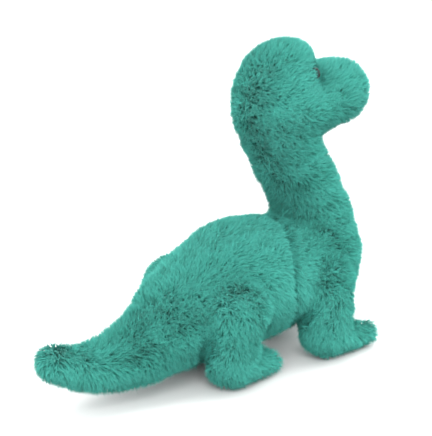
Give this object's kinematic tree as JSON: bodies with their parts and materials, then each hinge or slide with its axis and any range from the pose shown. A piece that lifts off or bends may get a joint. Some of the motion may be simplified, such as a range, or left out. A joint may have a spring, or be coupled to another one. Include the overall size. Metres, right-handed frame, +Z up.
{
  "type": "stuffed dinosaur",
  "caption": "Stuffed long-necked dinosaur in long-pile plush, standing on stubby feet, with neck, head, tail and legs that bend.",
  "frame": {"origin": "on the floor, midway between muzzle and tail tip, on the toy's middle plane", "axes": "+X is the way the toy faces, +Y is its left side, +Z is up"},
  "size_m": [0.4136, 0.162, 0.3284],
  "materials": {
    "plush": "long soft pile, matt with a light sheen",
    "filling": "white polyester fibre",
    "pellets": "cloth bag of plastic beads",
    "washer": "plain moulded",
    "eye": "black gloss",
    "thread": "sewing thread"
  },
  "bodies": {
    "torso": {"belly_gusset": "plush", "chest_left": "plush", "chest_right": "plush", "closing_stitch": "thread", "flank_left": "plush", "flank_right": "plush", "torso_filling": "filling"},
    "neck": {"neck_left": "plush", "neck_right": "plush", "neck_filling": "filling"},
    "head": {"head_gusset": "plush", "head_left": "plush", "head_right": "plush", "muzzle_left": "plush", "muzzle_right": "plush", "head_filling": "filling", "eye_left": "eye", "eye_right": "eye", "eye_washer_left": "washer", "eye_washer_right": "washer", "nostril_left": "thread", "nostril_right": "thread"},
    "tail_root": {"tail_root_left": "plush", "tail_root_right": "plush", "tail_root_filling": "filling"},
    "tail_tip": {"tail_tip_left": "plush", "tail_tip_right": "plush", "tail_tip_filling": "filling"},
    "hind_left_leg": {"hind_left_panel_outer": "plush", "hind_left_panel_inner": "plush", "hind_left_sole": "plush", "hind_left_filling": "filling", "hind_left_pellet_bag": "pellets"},
    "hind_right_leg": {"hind_right_panel_outer": "plush", "hind_right_panel_inner": "plush", "hind_right_sole": "plush", "hind_right_filling": "filling", "hind_right_pellet_bag": "pellets"},
    "front_left_leg": {"front_left_panel_outer": "plush", "front_left_panel_inner": "plush", "front_left_sole": "plush", "front_left_filling": "filling", "front_left_pellet_bag": "pellets"},
    "front_right_leg": {"front_right_panel_outer": "plush", "front_right_panel_inner": "plush", "front_right_sole": "plush", "front_right_filling": "filling", "front_right_pellet_bag": "pellets"}
  },
  "joints": [
    {"name": "neck_bend", "type": "hinge", "parent": "torso", "child": "neck", "pos_m": [0.1362, 0, 0.132], "axis": [0, 1, 0], "range_deg": [-15, 15], "stiffness_Nm_per_rad": 3},
    {"name": "head_nod", "type": "hinge", "parent": "neck", "child": "head", "pos_m": [0.1092, 0, 0.1965], "axis": [0, 1, 0], "range_deg": [-12, 12], "stiffness_Nm_per_rad": 2},
    {"name": "tail_wag", "type": "hinge", "parent": "torso", "child": "tail_root", "pos_m": [-0.0858, 0, 0.0484], "axis": [0, 0, 1], "range_deg": [-14, 14], "stiffness_Nm_per_rad": 1},
    {"name": "tail_tip_wag", "type": "hinge", "parent": "tail_root", "child": "tail_tip", "pos_m": [-0.1318, 0, 0.0432], "axis": [0, 0, 1], "range_deg": [-14, 14], "stiffness_Nm_per_rad": 0.5},
    {"name": "hind_left_swing", "type": "hinge", "parent": "torso", "child": "hind_left_leg", "pos_m": [-0.0078, 0.043, 0.075], "axis": [0, -1, 0], "range_deg": [-10, 8], "stiffness_Nm_per_rad": 4},
    {"name": "hind_right_swing", "type": "hinge", "parent": "torso", "child": "hind_right_leg", "pos_m": [-0.0078, -0.043, 0.075], "axis": [0, -1, 0], "range_deg": [-10, 8], "stiffness_Nm_per_rad": 4},
    {"name": "front_left_swing", "type": "hinge", "parent": "torso", "child": "front_left_leg", "pos_m": [0.1222, 0.043, 0.078], "axis": [0, -1, 0], "range_deg": [-12, 12], "stiffness_Nm_per_rad": 4},
    {"name": "front_right_swing", "type": "hinge", "parent": "torso", "child": "front_right_leg", "pos_m": [0.1222, -0.043, 0.078], "axis": [0, -1, 0], "range_deg": [-12, 12], "stiffness_Nm_per_rad": 4}
  ]
}
